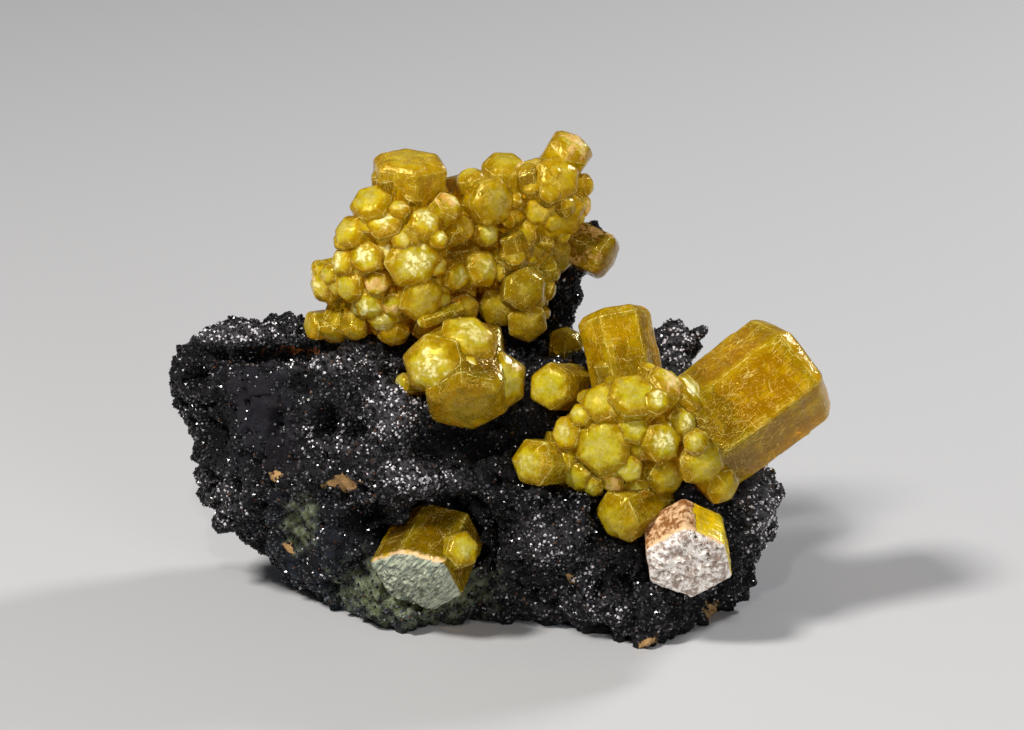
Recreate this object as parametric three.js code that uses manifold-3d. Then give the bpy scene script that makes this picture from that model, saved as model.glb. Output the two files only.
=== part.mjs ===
// Ettringite on matrix: clusters of yellow six-sided crystals on a dark, druse-covered rock.
// Millimetres, +Z up. The front of the specimen faces -Y and the origin is under its middle.
import * as THREE from "three";
import { ImprovedNoise } from "three/addons/math/ImprovedNoise.js";
import { mergeVertices } from "three/addons/utils/BufferGeometryUtils.js";
import Module from "manifold-3d";

const wasm = await Module();
wasm.setup();

// The front view, from which the specimen is drafted: a little from above, at arm's length.
// Across is measured from the middle of the specimen, up from its lowest point in that view,
// and depth is along Y, away from the viewer.
const viewTilt = THREE.MathUtils.degToRad(18);
const viewDistance = 620;
const viewCentre = { across: 1.25, up: 35.4 };
const viewAim = new THREE.Vector3(viewCentre.across, 0, 31.4);

const socketGap = 0.3; // between a crystal's root and the rock round it
const rockCell = 3.3; // size of one facet of the rock

const viewRight = new THREE.Vector3(1, 0, 0);
const viewUp = new THREE.Vector3(0, Math.sin(viewTilt), Math.cos(viewTilt));
const viewAway = new THREE.Vector3(0, Math.cos(viewTilt), -Math.sin(viewTilt));

// A point seen at (across, up) in the front view, at a given depth.
function seen(across, up, depth) {
  const a = across - viewCentre.across;
  const b = up - viewCentre.up;
  const rise = b * viewUp.y;
  const away = (depth - viewAim.y - rise) / (viewAway.y + rise / viewDistance);
  const spread = 1 + away / viewDistance;
  return viewAim
    .clone()
    .addScaledVector(viewRight, a * spread)
    .addScaledVector(viewUp, b * spread)
    .addScaledVector(viewAway, away);
}

// A direction given by its parts to the right, up and towards the viewer in the front view.
function pointing(right, up, towards) {
  return new THREE.Vector3()
    .addScaledVector(viewRight, right)
    .addScaledVector(viewUp, up)
    .addScaledVector(viewAway, -towards)
    .normalize();
}

// A steady fraction from 0 to 1 for a whole number, so that repeats differ a little.
function vary(n, salt = 0) {
  const s = Math.sin(n * 127.1 + salt * 311.7) * 43758.5453;
  return s - Math.floor(s);
}

// Crystals

// The end of a crystal of radius 1: a bevel runs round a flat face.
const bevelDrop = 0.16;
const endShare = 0.84;

// One six-sided prism with its end at tip and its long axis along axis. grow makes it fatter all
// round, for the socket that it leaves in the rock.
function prism({ tip, axis, radius, length, spin, squeeze, rootShare }, grow = 0) {
  const r = radius + grow / Math.cos(Math.PI / 6);
  const profile = [
    new THREE.Vector2(0, -length - grow),
    new THREE.Vector2(r * rootShare, -length - grow),
    new THREE.Vector2(r, -radius * bevelDrop + grow / 2),
    new THREE.Vector2(r * endShare, grow),
    new THREE.Vector2(0, grow),
  ];
  const turn = new THREE.Quaternion().setFromUnitVectors(new THREE.Vector3(0, 1, 0), axis);
  return new THREE.LatheGeometry(profile, 6)
    .rotateY(spin)
    .scale(1, 1, squeeze)
    .applyQuaternion(turn)
    .translate(tip.x, tip.y, tip.z);
}

// The rest of a crystal's numbers, where they aren't given.
function crystal(given, n) {
  return {
    spin: vary(n) * (Math.PI / 3),
    squeeze: 0.9 + 0.2 * vary(n, 1),
    rootShare: 0.92,
    length: given.radius * 2.6,
    ...given,
  };
}

// Crystals that stand out from a mound, all radiating from its middle: each row is the place of
// the crystal's end in the front view and its radius, with how far it stands proud if it does.
function radiating(mound, rows, salt) {
  return rows.map(([across, up, radius, proud = 0], n) => {
    const right = (across - mound.across) / mound.halfWidth;
    const rise = (up - mound.up) / mound.halfHeight;
    const lean = Math.min(Math.hypot(right, rise), 0.97);
    const towards = Math.sqrt(1 - lean * lean);
    const depth = mound.depth - mound.halfDepth * towards;
    const axis = pointing(right, rise, towards);
    const tip = seen(across, up, depth).addScaledVector(axis, proud);
    return crystal({ tip, axis, radius, length: mound.root + radius }, n + salt);
  });
}

// Crystals that are placed one by one: [across, up, depth, radius, [right, up, towards], length].
function placed(rows, salt) {
  return rows.map(([across, up, depth, radius, lean, length, spin], n) =>
    crystal(
      {
        tip: seen(across, up, depth),
        axis: pointing(...lean),
        radius,
        length,
        ...(spin === undefined ? {} : { spin: THREE.MathUtils.degToRad(spin) }),
      },
      n + salt,
    ),
  );
}

// The crown: the large upper mound on the left, and the crest beside it.
const crownMound = { across: -13, up: 48.6, depth: 2, halfWidth: 11.5, halfHeight: 13, halfDepth: 9, root: 7 };
const crownRows = [
  [-16.8, 56.4, 2.7],
  [-14.9, 53.9, 2.7],
  [-19.8, 52.4, 2.3],
  [-9.3, 53.6, 2.3],
  [-7.8, 51.3, 1.4, 0.4],
  [-6.4, 55.7, 2.0, 0.6],
  [-10.9, 48.4, 3.3, 0.4],
  [-10.0, 43.7, 2.9, 1.2],
  [-17.3, 48.9, 2.2],
  [-20.6, 48.3, 1.9],
  [-19.9, 45.0, 2.2],
  [-15.9, 45.4, 1.6],
  [-17.0, 42.4, 2.4],
  [-15.1, 40.4, 2.0],
  [-5.1, 46.3, 2.1],
  [-4.0, 53.0, 1.8],
  [-12.4, 51.4, 1.6],
  [-12.9, 55.4, 1.6],
  [-7.9, 47.9, 1.5],
  [-7.0, 43.2, 1.5],
  [-13.6, 42.4, 1.7],
  [-22.2, 46.6, 1.6],
];
const crownPlaced = [
  [-11.4, 61.6, 0, 5.3, [0.05, 0.93, 0.37], 9, 12],
  [-23.6, 45.3, -1, 2.5, [-0.8, -0.1, 0.6], 9],
  [-24.4, 40.2, 0, 2.1, [-0.88, -0.1, 0.45], 9],
  [-1.5, 47.6, -3, 2.5, [0.62, 0.1, 0.75], 8],
  [-10.6, 40.6, -6.6, 1.1, [-0.9, -0.3, 0.3], 6],
  [-18.6, 38.6, -3, 1.7, [-0.1, -0.9, 0.4], 8],
  [-21.6, 38.6, -1, 2.0, [-0.3, -0.85, 0.4], 8],
  [-13.6, 38.0, -4, 2.2, [0.0, -0.85, 0.5], 8],
  [-9.0, 39.4, -4, 2.0, [0.2, -0.8, 0.6], 8],
  [-13.0, 48.0, -2, 8.5, [0.05, 0.1, 0.99], 12, 10],
];
const crestPlaced = [
  [-4.2, 60.0, 2, 2.1, [-0.2, 0.9, 0.3], 8],
  [-0.2, 55.8, -1, 3.6, [0.6, -0.1, 0.78], 9, 8],
  [0.4, 61.3, 4, 2.9, [0.05, 0.8, 0.55], 9],
  [3.9, 60.6, 4, 2.5, [-0.1, 0.75, 0.6], 9],
  [9.4, 63.6, 6, 3.4, [0.45, 0.68, 0.55], 11, 20],
  [7.4, 59.2, 2, 3.5, [0.3, 0.25, 0.9], 9],
  [6.8, 53.8, 2, 4.2, [0.15, -0.42, 0.88], 9, 5],
  [11.4, 58.0, 6, 1.5, [0.85, 0.1, 0.4], 6],
  [10.9, 55.4, 5, 1.7, [0.8, 0, 0.5], 6],
  [13.8, 48.4, 6, 3.5, [0.85, -0.42, 0.32], 11, 25],
  [3.3, 45.0, -4, 3.1, [0.3, 0.1, 0.93], 12, 10],
  [-1.5, 51.8, -1, 1.8, [0.4, 0, 0.9], 7],
  [1.8, 49.6, 0, 1.9, [0.3, 0.1, 0.9], 7],
  [0.9, 45.3, -1, 1.8, [0.2, 0, 0.95], 7],
  [4.2, 50.0, 2, 2.2, [0.3, 0, 0.9], 8],
  [7.6, 48.6, 5, 2.8, [0.4, -0.4, 0.8], 9],
  [-0.4, 42.4, -3, 2.6, [0.1, -0.1, 0.95], 11],
  [3.2, 40.2, -4, 3.0, [0.1, -0.35, 0.9], 12, 5],
  [2.0, 47.5, 2, 6.2, [0.1, 0.1, 0.99], 11, 0],
  [5.5, 55.5, 5, 5.2, [0.1, 0.2, 0.97], 9, 20],
  [-4.6, 42.2, -4, 2.0, [0.1, -0.3, 0.9], 8],
];

// The crown's back, which the front view doesn't show: a spiral of crystals round the same mound.
function crownBack(count) {
  const middle = seen(crownMound.across + 6, crownMound.up + 3, 9);
  const golden = Math.PI * (3 - Math.sqrt(5));
  return Array.from({ length: count }, (_, n) => {
    const away = 0.97 - (0.85 * n) / count;
    const ring = Math.sqrt(1 - away * away);
    const axis = pointing(ring * Math.cos(golden * n), ring * Math.sin(golden * n), -away);
    const reach = new THREE.Vector3(13, 5.5, 8);
    const tip = middle.clone().add(axis.clone().multiply(reach));
    return crystal({ tip, axis, radius: 2 + 1.6 * vary(n, 5), length: 9 }, n + 300);
  });
}

// The heart: a few large crystals in the hollow below the crown.
const heartPlaced = [
  [-9.4, 35.3, -15, 4.5, [-0.35, -0.08, 0.93], 10, 22],
  [-3.8, 39.8, -11.5, 4.4, [0.2, 0.62, 0.76], 10, 10],
  [0.8, 33.2, -13.5, 4.1, [0.45, -0.05, 0.89], 10, 0],
  [-4.3, 29.6, -15, 6.3, [0.02, -0.75, 0.66], 11, 4],
  [-5.6, 31.0, -15, 1.5, [-0.1, -0.4, 0.9], 6],
  [-4.0, 35.6, -14.4, 1.1, [0, 0.1, 1], 5],
  [-13.0, 33.0, -9, 1.5, [-0.8, 0, 0.6], 6],
];

// The bridge: one crystal between the heart and the rosette.
const bridgePlaced = [[5.6, 32.7, -12.5, 3.4, [-0.42, 0.02, 0.9], 9.5, 15]];

// The rosette: small crystals round the foot of the two largest prisms.
const rosetteMound = { across: 15.5, up: 26, depth: -8, halfWidth: 12, halfHeight: 12, halfDepth: 10, root: 6 };
const rosetteRows = [
  [7.6, 27.0, 2.3],
  [7.0, 23.3, 1.7],
  [12.4, 25.2, 3.9, 0.4],
  [11.9, 31.3, 2.7],
  [16.3, 31.8, 3.3, 0.6],
  [19.1, 30.7, 1.8, 1.2],
  [21.1, 34.0, 2.7],
  [24.3, 32.6, 2.9],
  [20.0, 25.9, 2.6, 1.2],
  [23.1, 28.1, 2.3, 0.6],
  [21.1, 21.1, 2.8, 0.4],
  [8.9, 21.0, 2.2],
  [10.9, 19.9, 1.7],
  [13.6, 20.2, 1.8],
  [15.9, 22.4, 1.8, 0.6],
  [16.9, 18.9, 2.0],
  [16.6, 27.6, 2.2],
  [9.4, 29.4, 1.6],
];
const rosettePlaced = [
  [2.8, 23.1, -17, 3.4, [-0.6, -0.02, 0.8], 9, 10],
  [13.4, 15.7, -18, 3.9, [-0.66, -0.35, 0.66], 12, 10],
  [19.6, 16.6, -14, 3.2, [-0.1, -0.4, 0.9], 8, 0],
  [25.8, 22.6, -18.4, 3.6, [0.35, -0.3, 0.88], 8, 20],
  [28.4, 19.6, -17, 2.4, [0.5, -0.4, 0.76], 7],
  [24.2, 25.8, -18.8, 1.8, [-0.1, 0.1, 0.98], 6],
];
const bigPlaced = [
  [37.6, 36.3, -2.5, 8.5, [0.8, 0.6, -0.21], 20, 8],
  [13.8, 42.6, -5, 5.0, [-0.2, 0.96, -0.16], 13, 28],
  [29.6, 20.4, -5, 2.6, [0.5, -0.6, 0.6], 9],
];

// The stub: a broken crystal at the lower right, crusted with pale rock.
const stubPlaced = [[23.4, 9.4, -20.5, 6.6, [0.02, -0.66, 0.75], 7, 0]];

// The pocket crystals at the lower left.
const pocketPlaced = [
  [-11.4, 7.4, -16, 6.4, [-0.36, -0.72, 0.6], 10, 30],
  [-4.6, 12.5, -18, 2.4, [0.35, 0.15, 0.92], 7, 0],
];

// A small dark crystal in the gap behind the bridge.
const rearPlaced = [[8.1, 39.4, 3, 2.3, [0.05, 0.72, 0.68], 8, 0]];

const clusters = {
  crown_cluster: [
    ...radiating(crownMound, crownRows, 0),
    ...placed(crownPlaced, 40),
    ...placed(crestPlaced, 60),
    ...crownBack(10),
  ],
  heart_cluster: placed(heartPlaced, 100),
  bridge_crystal: placed(bridgePlaced, 120),
  rosette_cluster: [
    ...radiating(rosetteMound, rosetteRows, 140),
    ...placed(rosettePlaced, 170),
    ...placed(bigPlaced, 180),
  ],
  stub_crystal: placed(stubPlaced, 200),
  pocket_crystals: placed(pocketPlaced, 210),
  rear_crystal: placed(rearPlaced, 220),
};

// Rock

// Outline of the rock's main body in the front view: [across, up], clockwise from the left tip.
const rockOutline = [
  [-43.0, 33.8],
  [-39.6, 36.4],
  [-36.4, 38.8],
  [-33.0, 40.0],
  [-25.0, 41.0],
  [-16.0, 39.5],
  [-4.0, 38.5],
  [8.0, 37.0],
  [19.0, 36.6],
  [28.0, 31.0],
  [32.4, 24.0],
  [34.0, 20.5],
  [34.8, 14.0],
  [32.2, 9.4],
  [28.6, 4.4],
  [25.4, 1.2],
  [20.0, -5.0],
  [4.0, -3.0],
  [-12.0, -4.0],
  [-18.0, -2.0],
  [-23.5, 3.0],
  [-28.6, 8.4],
  [-34.4, 13.3],
  [-38.4, 17.8],
  [-39.4, 24.0],
  [-40.0, 30.0],
];

const noise = new ImprovedNoise();

// Signed distance to a closed outline: negative inside.
function outlineDistance(x, y, outline) {
  let nearest = Infinity;
  let inside = false;
  outline.forEach(([x1, y1], n) => {
    const [x0, y0] = outline[(n + outline.length - 1) % outline.length];
    const ex = x1 - x0;
    const ey = y1 - y0;
    const t = THREE.MathUtils.clamp(((x - x0) * ex + (y - y0) * ey) / (ex * ex + ey * ey), 0, 1);
    nearest = Math.min(nearest, Math.hypot(x - x0 - t * ex, y - y0 - t * ey));
    if (y0 > y !== y1 > y && x < x0 + ((y - y0) * ex) / ey) inside = !inside;
  });
  return inside ? -nearest : nearest;
}

// Joins and cuts of distances with a rounded seam of the given width.
function smoothJoin(a, b, width) {
  const h = Math.max(width - Math.abs(a - b), 0) / width;
  return Math.min(a, b) - h * h * width * 0.25;
}
const smoothCut = (a, b, width) => -smoothJoin(-a, b, width);

// A lump or hollow: an ellipsoid at a place in the front view, with half sizes across, in depth
// and up, turned in the picture by tilt degrees.
function lump(across, up, depth, halfAcross, halfDepth, halfUp, tilt = 0) {
  return {
    middle: seen(across, up, depth),
    half: new THREE.Vector3(halfAcross, halfDepth, halfUp),
    turn: new THREE.Quaternion().setFromAxisAngle(new THREE.Vector3(0, 1, 0), THREE.MathUtils.degToRad(tilt)),
  };
}
function lumpDistance(point, { middle, half, turn }) {
  const p = point.clone().sub(middle).applyQuaternion(turn);
  const k0 = p.clone().divide(half).length();
  const k1 = p.clone().divide(half).divide(half).length();
  return k1 > 1e-9 ? (k0 * (k0 - 1)) / k1 : -half.x;
}

// What stands out from the main body, and what is hollowed out of it.
const rockLumps = [
  lump(-29, 37, 10, 9, 8, 3.6, -5), // back ridge on the left
  lump(-21.5, 31.5, -4, 12, 6, 5.4, 8), // front ridge
  lump(-13, 26, -9, 8, 6, 7, 30), // druse ridge beside the heart
  lump(1, 40, 13, 8, 5, 9, 0), // spur behind the crown
  lump(7.4, 47, 13, 4, 4, 9.5, -18), // spur behind the crest
  lump(-10, 43, 13, 9, 5, 7, 0), // spur behind the mound
  lump(22.6, 37.4, 7, 3.1, 3.4, 5.8, -12), // knob
  lump(19.6, 37, 6, 2.2, 2.4, 2.6, 0), // knob's foot
  lump(8, 17, -12, 13, 6, 6, -8), // ledge in front
  lump(30.6, 17, -4, 4.5, 7, 5, 0), // right end
  lump(-11.5, 6.2, -10, 6.5, 5, 3, 28), // slope below the pocket
  lump(18.2, 3.2, -13, 4.4, 5, 4, 0), // foot on the right
];
const rockHollows = [
  lump(-3, 29.5, -16, 9.5, 8, 6, 0), // the heart's hollow
  lump(8, 26.5, -14, 5, 6, 3.5, 0), // dark gap below the bridge
  lump(-25, 38.4, 1.5, 10, 3.2, 3.2, -2), // groove between the ridges
  lump(-9, 14.5, -20, 7.5, 7, 5.5, -30), // pocket
  lump(-37.5, 33.5, -1, 3.2, 5, 2.6, 0), // hole at the left tip
  lump(-24, 33.5, -11, 2.4, 4, 2.2, 0), // pits in the front face
  lump(-20.5, 28, -14, 2.2, 4, 3.2, 20),
  lump(-30, 24, -11, 5, 4, 9, 20), // dished face on the left
  lump(-1, 1.5, -16, 7, 7, 4.5, 0), // arch between the feet
];

// Broken faces: the way each looks out from the heart of the rock, and how far off it lies.
const rockHeart = new THREE.Vector3(-2, 3, 18);
const rockBreaks = [
  { facing: new THREE.Vector3(0, 0.6, -0.8), reach: 19 }, // back, below
  { facing: new THREE.Vector3(0.5, 0.75, 0.43), reach: 23 }, // back, upper right
  { facing: new THREE.Vector3(-0.72, 0.45, -0.53), reach: 30 }, // back, lower left
  { facing: new THREE.Vector3(-0.5, -0.72, -0.48), reach: 26.5 }, // front, lower left
  { facing: new THREE.Vector3(-0.42, -0.84, 0.34), reach: 20.5 }, // front, upper left
  { facing: new THREE.Vector3(0.75, -0.62, -0.2), reach: 32 }, // front, right end
];

const middleDepth = (across) => THREE.MathUtils.mapLinear(across, -42, 35, 10, -2);
const halfThickness = 16.5;
const roundEdge = 17; // how far in from the outline the rock reaches its full thickness
const roughness = [
  { size: 11, height: 1.7 },
  { size: 5.2, height: 1.2 },
];

function rockDistance(x, y, z) {
  const point = new THREE.Vector3(x, y, z);
  const from = point.clone().sub(viewAim);
  const spread = 1 + from.dot(viewAway) / viewDistance;
  const across = from.dot(viewRight) / spread + viewCentre.across;
  const up = from.dot(viewUp) / spread + viewCentre.up;
  const edge = outlineDistance(across, up, rockOutline);
  const inward = THREE.MathUtils.clamp(-edge / roundEdge, 0, 1);
  const thickness = halfThickness * Math.sqrt(1 - (1 - inward) ** 2);
  const slab = Math.abs(y - middleDepth(across)) - thickness;
  let distance = Math.max(edge, slab * 0.6);
  rockBreaks.forEach(({ facing, reach }) => {
    distance = smoothCut(distance, reach - point.clone().sub(rockHeart).dot(facing), 2);
  });
  rockLumps.forEach((l) => (distance = smoothJoin(distance, lumpDistance(point, l), 4)));
  rockHollows.forEach((l) => (distance = smoothCut(distance, lumpDistance(point, l), 3)));
  roughness.forEach(({ size, height }) => {
    distance += height * noise.noise(x / size + 7.3, y / size + 2.1, z / size + 5.7);
  });
  return distance;
}

// The six faces of a cell, each as the numbers of its four edges. Edge number 4 a + s + 2 t runs
// along axis a, at s along the next axis and t along the one after.
const cellFaces = [0, 1, 2].flatMap((n) =>
  [0, 1].map((side) => {
    const u = (n + 1) % 3;
    const v = (n + 2) % 3;
    return { n, side, u, v, alongU: (q) => 4 * u + q + 2 * side, alongV: (p) => 4 * v + side + 2 * p };
  }),
);

// A closed mesh of the surface where distance is 0: in each cell one vertex for each sheet of the
// surface that crosses it, at the mean of that sheet's crossings with the cell's edges, and one
// quad across each cut edge.
function surfaceOf(distance, low, high, cell) {
  const [nx, ny, nz] = ["x", "y", "z"].map((k) => Math.ceil((high[k] - low[k]) / cell) + 1);
  const at = (i, j, k) => (k * ny + j) * nx + i;
  const corner = (i, j, k) => new THREE.Vector3(low.x + i * cell, low.y + j * cell, low.z + k * cell);
  const values = new Float64Array(nx * ny * nz);
  for (let k = 0; k < nz; k++)
    for (let j = 0; j < ny; j++)
      for (let i = 0; i < nx; i++) {
        const p = corner(i, j, k);
        values[at(i, j, k)] = distance(p.x, p.y, p.z);
      }
  const steps = [at(1, 0, 0), at(0, 1, 0), at(0, 0, 1)];
  const positions = [];

  // The vertex in a cell that each of its cut edges belongs to.
  const sheetsIn = (i, j, k) => {
    const base = at(i, j, k);
    const crossing = new Map();
    for (let edge = 0; edge < 12; edge++) {
      const axis = Math.floor(edge / 4);
      const start = [0, 0, 0];
      start[(axis + 1) % 3] = edge & 1;
      start[(axis + 2) % 3] = (edge >> 1) & 1;
      const first = base + start[0] * steps[0] + start[1] * steps[1] + start[2] * steps[2];
      const a = values[first];
      const b = values[first + steps[axis]];
      if (a < 0 === b < 0) continue;
      const p = corner(i + start[0], j + start[1], k + start[2]);
      p.setComponent(axis, p.getComponent(axis) + (cell * a) / (a - b));
      crossing.set(edge, { p, sheet: edge });
    }
    const link = (one, two) => {
      const from = crossing.get(one).sheet;
      const to = crossing.get(two).sheet;
      for (const c of crossing.values()) if (c.sheet === from) c.sheet = to;
    };
    for (const { n, side, u, v, alongU, alongV } of cellFaces) {
      const cut = [alongU(0), alongU(1), alongV(0), alongV(1)].filter((edge) => crossing.has(edge));
      if (cut.length === 2) link(...cut);
      if (cut.length < 4) continue;
      for (const [p, q] of [[0, 0], [0, 1], [1, 0], [1, 1]])
        if (values[base + side * steps[n] + p * steps[u] + q * steps[v]] < 0) link(alongU(q), alongV(p));
    }
    const vertexOf = new Map();
    for (const sheet of new Set([...crossing.values()].map((c) => c.sheet))) {
      const members = [...crossing].filter(([, c]) => c.sheet === sheet);
      const mean = new THREE.Vector3();
      for (const [, c] of members) mean.addScaledVector(c.p, 1 / members.length);
      for (const [edge] of members) vertexOf.set(edge, positions.length / 3);
      positions.push(mean.x, mean.y, mean.z);
    }
    return vertexOf;
  };
  const cells = new Map();
  const vertexOn = (i, j, k, edge) => {
    const id = at(i, j, k);
    if (!cells.has(id)) cells.set(id, sheetsIn(i, j, k));
    return cells.get(id).get(edge);
  };

  const triangles = [];
  for (let k = 1; k < nz - 1; k++)
    for (let j = 1; j < ny - 1; j++)
      for (let i = 1; i < nx - 1; i++)
        for (let axis = 0; axis < 3; axis++) {
          const a = values[at(i, j, k)];
          const b = values[at(i, j, k) + steps[axis]];
          if (a < 0 === b < 0) continue;
          const ring = [[1, 1], [0, 1], [0, 0], [1, 0]].map(([s, t]) => {
            const back = [0, 0, 0];
            back[(axis + 1) % 3] = s;
            back[(axis + 2) % 3] = t;
            return vertexOn(i - back[0], j - back[1], k - back[2], 4 * axis + s + 2 * t);
          });
          if (a >= 0) ring.reverse();
          triangles.push(ring[0], ring[1], ring[2], ring[0], ring[2], ring[3]);
        }
  const geometry = new THREE.BufferGeometry();
  geometry.setAttribute("position", new THREE.BufferAttribute(new Float32Array(positions), 3));
  geometry.setIndex(triangles);
  return geometry;
}

// Solids

function solid(geometry) {
  const bare = geometry.clone();
  bare.deleteAttribute("normal");
  bare.deleteAttribute("uv");
  const merged = mergeVertices(bare, 1e-4);
  const vertProperties = new Float32Array(merged.attributes.position.array);
  const triVerts = new Uint32Array(merged.index.array);
  return new wasm.Manifold(new wasm.Mesh({ numProp: 3, vertProperties, triVerts }));
}

function geometryOf(made) {
  const { vertProperties, triVerts } = made.getMesh();
  const geometry = new THREE.BufferGeometry();
  geometry.setAttribute("position", new THREE.BufferAttribute(new Float32Array(vertProperties), 3));
  geometry.setIndex([...triVerts]);
  geometry.computeVertexNormals();
  return geometry;
}

const joined = (crystals, grow = 0) =>
  crystals.map((c) => solid(prism(c, grow))).reduce((all, next) => all.add(next));

// Splinters that a cut leaves loose are dropped.
const largestOf = (made) =>
  made.decompose().reduce((most, piece) => (piece.volume() > most.volume() ? piece : most));

// The rock stands on a flat underside and has a socket for the root of every crystal.
const rockLow = new THREE.Vector3(-51, -32, -20);
const rockHigh = new THREE.Vector3(44, 36, 68);
const belowBase = new THREE.BoxGeometry(120, 120, 40).translate(0, 0, -20);
let rock = solid(surfaceOf(rockDistance, rockLow, rockHigh, rockCell)).subtract(solid(belowBase));
for (const crystals of Object.values(clusters)) rock = rock.subtract(joined(crystals, socketGap));
const solids = { matrix: largestOf(rock) };

// A cluster that grew against another one carries the print of it.
const grown = [];
for (const [name, crystals] of Object.entries(clusters)) {
  let made = joined(crystals);
  for (const neighbour of grown) made = made.subtract(joined(neighbour, socketGap));
  solids[name] = largestOf(made);
  grown.push(crystals);
}

// Finish of each part: dull black rock and glossy yellow crystals.
const finish = {
  matrix: { color: 0x2b2a2d, roughness: 0.65, metalness: 0.1 },
  crown_cluster: { color: 0xbd9a1e, roughness: 0.32, metalness: 0 },
  heart_cluster: { color: 0xb38a12, roughness: 0.3, metalness: 0 },
  bridge_crystal: { color: 0xb28d14, roughness: 0.3, metalness: 0 },
  rosette_cluster: { color: 0xb48a10, roughness: 0.28, metalness: 0 },
  stub_crystal: { color: 0xa8926c, roughness: 0.75, metalness: 0 },
  pocket_crystals: { color: 0x8d7a1a, roughness: 0.4, metalness: 0 },
  rear_crystal: { color: 0x8a6208, roughness: 0.35, metalness: 0 },
};

const specimen = new THREE.Group();
for (const [name, made] of Object.entries(solids)) {
  const mesh = new THREE.Mesh(geometryOf(made), new THREE.MeshStandardMaterial(finish[name]));
  mesh.name = name;
  specimen.add(mesh);
}

// The origin goes under the middle of the whole specimen.
const extent = new THREE.Box3().setFromObject(specimen);
const middle = extent.getCenter(new THREE.Vector3());
for (const mesh of specimen.children) mesh.geometry.translate(-middle.x, -middle.y, -extent.min.z);

export default specimen;
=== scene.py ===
import math

import bmesh
import bpy
import numpy as np
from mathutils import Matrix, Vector, noise
from mathutils.bvhtree import BVHTree


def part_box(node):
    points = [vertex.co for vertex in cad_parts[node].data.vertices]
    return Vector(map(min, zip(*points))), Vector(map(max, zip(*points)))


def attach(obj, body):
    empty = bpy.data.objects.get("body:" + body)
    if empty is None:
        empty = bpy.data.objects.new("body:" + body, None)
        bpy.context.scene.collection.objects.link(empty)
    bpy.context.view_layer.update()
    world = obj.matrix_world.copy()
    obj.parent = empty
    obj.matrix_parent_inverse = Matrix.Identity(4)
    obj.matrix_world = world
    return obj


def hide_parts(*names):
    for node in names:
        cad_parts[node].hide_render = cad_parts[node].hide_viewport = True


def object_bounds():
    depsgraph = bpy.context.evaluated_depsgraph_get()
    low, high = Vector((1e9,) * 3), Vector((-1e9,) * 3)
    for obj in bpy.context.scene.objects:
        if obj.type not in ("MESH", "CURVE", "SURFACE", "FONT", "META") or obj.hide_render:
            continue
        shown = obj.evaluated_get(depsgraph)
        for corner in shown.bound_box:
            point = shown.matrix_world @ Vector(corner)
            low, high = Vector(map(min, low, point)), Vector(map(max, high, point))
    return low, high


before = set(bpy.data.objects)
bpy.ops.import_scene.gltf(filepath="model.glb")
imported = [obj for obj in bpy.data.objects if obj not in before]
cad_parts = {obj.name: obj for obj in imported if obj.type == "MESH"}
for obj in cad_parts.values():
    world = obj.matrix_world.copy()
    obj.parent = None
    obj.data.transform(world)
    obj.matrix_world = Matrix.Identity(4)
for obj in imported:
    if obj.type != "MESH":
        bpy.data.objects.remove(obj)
cadLow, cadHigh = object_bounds()
mm = 0.001

# the front view that the specimen is drafted in: across and up in mm, depth along Y
view = {
    "tilt": 18.0,      # degrees above the horizon
    "distance": 620.0,
    "across": 1.25,    # what the view is centred on
    "up": 35.4,
    "aimHeight": 31.4,
    "pixelsPerMm": 8.0,
    "width": 1024,     # pixels
    "sensor": 36,      # mm
}
tilt = math.radians(view["tilt"])
viewRight = Vector((1, 0, 0))
viewUp = Vector((0, math.sin(tilt), math.cos(tilt)))
viewAway = Vector((0, math.cos(tilt), -math.sin(tilt)))
viewAim = Vector((view["across"], 0, view["aimHeight"]))


def seen(across, up, depth):
    a = across - view["across"]
    b = up - view["up"]
    rise = b * viewUp.y
    away = (depth - rise) / (viewAway.y + rise / view["distance"])
    spread = 1 + away / view["distance"]
    return viewAim + viewRight * a * spread + viewUp * b * spread + viewAway * away


def pointing(right, up, towards):
    return (viewRight * right + viewUp * up - viewAway * towards).normalized()


def vary(n, salt=0):
    s = math.sin(n * 127.1 + salt * 311.7) * 43758.5453
    return s - math.floor(s)


# node trees written as expressions
class Wire:
    # one output in a node tree; sums and products of wires become Math nodes
    def __init__(self, graph, socket):
        self.graph = graph
        self.socket = socket

    def math(self, operation, *others):
        return self.graph.math(operation, self, *others)

    def __add__(self, other): return self.math("ADD", other)
    def __radd__(self, other): return self.math("ADD", other)
    def __sub__(self, other): return self.math("SUBTRACT", other)
    def __rsub__(self, other): return self.graph.math("SUBTRACT", other, self)
    def __mul__(self, other): return self.math("MULTIPLY", other)
    def __rmul__(self, other): return self.math("MULTIPLY", other)
    def __truediv__(self, other): return self.math("DIVIDE", other)
    def __rtruediv__(self, other): return self.graph.math("DIVIDE", other, self)
    def __pow__(self, other): return self.math("POWER", other)

    def size(self): return self.math("ABSOLUTE")
    def atLeast(self, other): return self.math("MAXIMUM", other)
    def atMost(self, other): return self.math("MINIMUM", other)

    def ramp(self, low, high, toLow=0.0, toHigh=1.0):
        # smooth from low to high, and level outside them
        return self.graph.add("ShaderNodeMapRange", {"interpolation_type": "SMOOTHSTEP"},
                              {0: self, 1: low, 2: high, 3: toLow, 4: toHigh})()


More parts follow.
